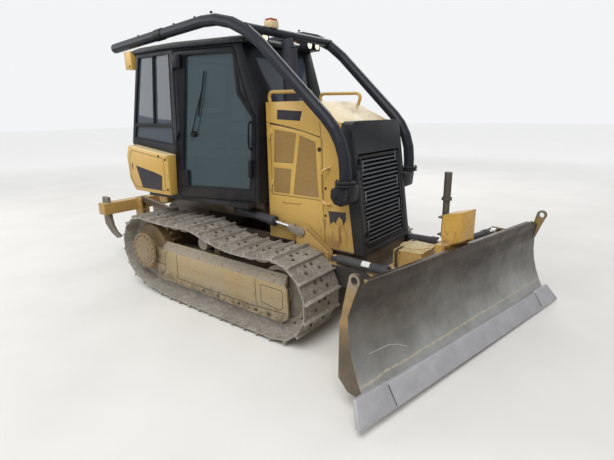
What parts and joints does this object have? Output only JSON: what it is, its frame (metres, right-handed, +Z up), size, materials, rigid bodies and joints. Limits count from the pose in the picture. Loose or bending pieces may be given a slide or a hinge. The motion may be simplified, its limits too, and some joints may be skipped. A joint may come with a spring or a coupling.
{
  "type": "crawler bulldozer with angle blade and rear ripper",
  "caption": "Crawler bulldozer with an angling and tilting blade on a C-frame, closed cab, limb risers over hood and cab, and a rear ripper on parallel links.",
  "frame": {"origin": "on the ground, on the centre plane, below the middle of the track frames", "axes": "+X forward towards the blade, +Y to the left of the machine, +Z up"},
  "size_m": [5.1494, 3.0182, 2.8432],
  "materials": {
    "yellow_paint": "satin",
    "blade_steel": "satin",
    "track_steel": "matte",
    "black_paint": "satin",
    "rod_chrome": "polished",
    "cab_glazing": "polished",
    "seat_fabric": "matte",
    "interior_plastic": "matte",
    "dark_iron": "matte"
  },
  "bodies": {
    "tractor": {"cab_frame": "black_paint", "cab_glass": "cab_glazing", "cab_roof": "black_paint", "engine_block": "dark_iron", "exhaust_stack": "black_paint", "fenders": "yellow_paint", "fuel_tank": "yellow_paint", "hood": "yellow_paint", "hood_rails": "yellow_paint", "main_frame": "yellow_paint", "operator_console": "interior_plastic", "radiator_core": "dark_iron", "radiator_guard": "black_paint", "rollers_left": "track_steel", "rollers_right": "track_steel", "seat_base": "interior_plastic", "seat_cushion": "seat_fabric", "side_box_left": "yellow_paint", "side_box_right": "yellow_paint", "sprocket_left": "track_steel", "sprocket_right": "track_steel", "sweep_brackets": "black_paint", "sweeps": "black_paint", "track_frame_left": "yellow_paint", "track_frame_right": "yellow_paint", "track_left": "track_steel", "track_right": "track_steel", "work_lamps": "black_paint"},
    "cab_door_right_body": {"cab_door_right": "black_paint", "cab_door_glass_right": "cab_glazing"},
    "cab_door_left_body": {"cab_door_left": "black_paint", "cab_door_glass_left": "cab_glazing"},
    "engine_door_right_body": {"engine_door_right": "yellow_paint"},
    "engine_door_left_body": {"engine_door_left": "yellow_paint"},
    "grille_body": {"grille_door": "black_paint"},
    "c_frame_body": {"c_frame": "yellow_paint"},
    "carrier": {"blade_carrier": "yellow_paint", "blade_tower": "yellow_paint", "mast": "black_paint"},
    "blade": {"moldboard": "blade_steel", "cutting_edge": "blade_steel"},
    "ripper_lower": {"ripper_lower_links": "yellow_paint"},
    "ripper_upper": {"ripper_upper_links": "yellow_paint"},
    "ripper_tool": {"ripper_beam": "yellow_paint", "ripper_shanks": "track_steel"},
    "lift_barrel_right_body": {"lift_barrel_right": "black_paint"},
    "lift_barrel_left_body": {"lift_barrel_left": "black_paint"},
    "lift_rod_right_body": {"lift_rod_right": "rod_chrome"},
    "lift_rod_left_body": {"lift_rod_left": "rod_chrome"},
    "angle_barrel_right_body": {"angle_barrel_right": "black_paint"},
    "angle_barrel_left_body": {"angle_barrel_left": "black_paint"},
    "angle_rod_right_body": {"angle_rod_right": "rod_chrome"},
    "angle_rod_left_body": {"angle_rod_left": "rod_chrome"},
    "tilt_barrel_body": {"tilt_barrel": "black_paint"},
    "tilt_rod_body": {"tilt_rod": "rod_chrome"},
    "ripper_barrel_body": {"ripper_barrel": "black_paint"},
    "ripper_rod_body": {"ripper_rod": "rod_chrome"}
  },
  "joints": [
    {"name": "cab_door_right_hinge", "type": "hinge", "parent": "tractor", "child": "cab_door_right_body", "pos_m": [-0.5265, -0.776, 1.095], "axis": [0, -0.0468, -0.9989], "range_deg": [0, 80]},
    {"name": "cab_door_left_hinge", "type": "hinge", "parent": "tractor", "child": "cab_door_left_body", "pos_m": [-0.5265, 0.776, 1.095], "axis": [0, -0.0468, 0.9989], "range_deg": [0, 80]},
    {"name": "engine_door_right_hinge", "type": "hinge", "parent": "tractor", "child": "engine_door_right_body", "pos_m": [0.505, -0.438, 1.18], "axis": [0, 0, -1], "range_deg": [0, 100]},
    {"name": "engine_door_left_hinge", "type": "hinge", "parent": "tractor", "child": "engine_door_left_body", "pos_m": [0.505, 0.438, 1.18], "axis": [0, 0, 1], "range_deg": [0, 100]},
    {"name": "grille_hinge", "type": "hinge", "parent": "tractor", "child": "grille_body", "pos_m": [1.584, -0.3755, 0.746], "axis": [0.1414, 0, -0.9899], "range_deg": [0, 45]},
    {"name": "blade_lift", "type": "hinge", "parent": "tractor", "child": "c_frame_body", "pos_m": [0.18, 0, 0.43], "axis": [0, 1, 0], "range_deg": [-17, 13]},
    {"name": "lift_barrel_right_swing", "type": "hinge", "parent": "tractor", "child": "lift_barrel_right_body", "pos_m": [0.03, -0.487, 0.99], "axis": [0, 1, 0], "range_deg": [-13.91, 10.76]},
    {"name": "lift_rod_right_stroke", "type": "slide", "parent": "lift_barrel_right_body", "child": "lift_rod_right_body", "axis": [0.9938, 0, -0.1114], "range_m": [-0.16289, 0.12503]},
    {"name": "lift_barrel_left_swing", "type": "hinge", "parent": "tractor", "child": "lift_barrel_left_body", "pos_m": [0.03, 0.487, 0.99], "axis": [0, 1, 0], "range_deg": [-13.91, 10.76]},
    {"name": "lift_rod_left_stroke", "type": "slide", "parent": "lift_barrel_left_body", "child": "lift_rod_left_body", "axis": [0.9938, 0, -0.1114], "range_m": [-0.16289, 0.12503]},
    {"name": "blade_angle", "type": "hinge", "parent": "c_frame_body", "child": "carrier", "pos_m": [2.085, 0, 0.55], "axis": [0, 0, 1], "range_deg": [-13.6, 36.4]},
    {"name": "angle_barrel_right_swing", "type": "hinge", "parent": "c_frame_body", "child": "angle_barrel_right_body", "pos_m": [1.3, -0.496, 0.695], "axis": [0, 0, 1], "range_deg": [-1.32, 2.69]},
    {"name": "angle_rod_right_stroke", "type": "slide", "parent": "angle_barrel_right_body", "child": "angle_rod_right_body", "axis": [0.9982, -0.0597, 0], "range_m": [-0.1262, 0.33442]},
    {"name": "angle_barrel_left_swing", "type": "hinge", "parent": "c_frame_body", "child": "angle_barrel_left_body", "pos_m": [1.3, 0.496, 0.695], "axis": [0, 0, 1], "range_deg": [-1.32, 2.69]},
    {"name": "angle_rod_left_stroke", "type": "slide", "parent": "angle_barrel_left_body", "child": "angle_rod_left_body", "axis": [0.9997, 0.0245, 0], "range_m": [-0.33442, 0.1262]},
    {"name": "blade_tilt", "type": "hinge", "parent": "carrier", "child": "blade", "pos_m": [2.085, 0, 0.55], "axis": [0.9803, -0.1977, 0], "range_deg": [-7.1, 8.9]},
    {"name": "tilt_barrel_swing", "type": "hinge", "parent": "carrier", "child": "tilt_barrel_body", "pos_m": [2.24065, 0.20529, 0.86], "axis": [0.9803, -0.1977, 0], "range_deg": [-11.22, 13.94]},
    {"name": "tilt_rod_stroke", "type": "slide", "parent": "tilt_barrel_body", "child": "tilt_rod_body", "axis": [0.1976, 0.98, -0.0235], "range_m": [-0.04964, 0.04001]},
    {"name": "ripper_lift", "type": "hinge", "parent": "tractor", "child": "ripper_lower", "pos_m": [-1.42, 0, 0.54], "axis": [0, 1, 0], "range_deg": [-50, 4]},
    {"name": "ripper_upper_hinge", "type": "hinge", "parent": "tractor", "child": "ripper_upper", "pos_m": [-1.42, 0, 0.75], "axis": [0, 1, 0], "range_deg": [-51, 5]},
    {"name": "ripper_beam_hinge", "type": "hinge", "parent": "ripper_lower", "child": "ripper_tool", "pos_m": [-2.06, 0, 0.62], "axis": [0, 1, 0], "range_deg": [-5, 51]},
    {"name": "ripper_barrel_swing", "type": "hinge", "parent": "tractor", "child": "ripper_barrel_body", "pos_m": [-1.42, 0, 0.83], "axis": [0, 1, 0], "range_deg": [-39.74, 3.64]},
    {"name": "ripper_rod_stroke", "type": "slide", "parent": "ripper_barrel_body", "child": "ripper_rod_body", "axis": [-0.9502, 0, -0.3118], "range_m": [-0.01789, 0.20065]}
  ],
  "couplings": [
    {"joint": "lift_barrel_right_swing", "follows": "blade_lift", "ratio": 0.78902},
    {"joint": "lift_rod_right_stroke", "follows": "blade_lift", "m_per_rad": 0.54225},
    {"joint": "lift_barrel_left_swing", "follows": "blade_lift", "ratio": 0.78902},
    {"joint": "lift_rod_left_stroke", "follows": "blade_lift", "m_per_rad": 0.54225},
    {"joint": "angle_barrel_right_swing", "follows": "blade_angle", "ratio": 0.06005},
    {"joint": "angle_rod_right_stroke", "follows": "blade_angle", "m_per_rad": 0.52324},
    {"joint": "angle_barrel_left_swing", "follows": "blade_angle", "ratio": 0.06005},
    {"joint": "angle_rod_left_stroke", "follows": "blade_angle", "m_per_rad": -0.52324},
    {"joint": "tilt_barrel_swing", "follows": "blade_tilt", "ratio": 1.5104},
    {"joint": "tilt_rod_stroke", "follows": "blade_tilt", "m_per_rad": -0.3067},
    {"joint": "ripper_upper_hinge", "follows": "ripper_lift", "ratio": 1},
    {"joint": "ripper_beam_hinge", "follows": "ripper_lift", "ratio": -1},
    {"joint": "ripper_barrel_swing", "follows": "ripper_lift", "ratio": 0.78475},
    {"joint": "ripper_rod_stroke", "follows": "ripper_lift", "m_per_rad": -0.22763}
  ]
}
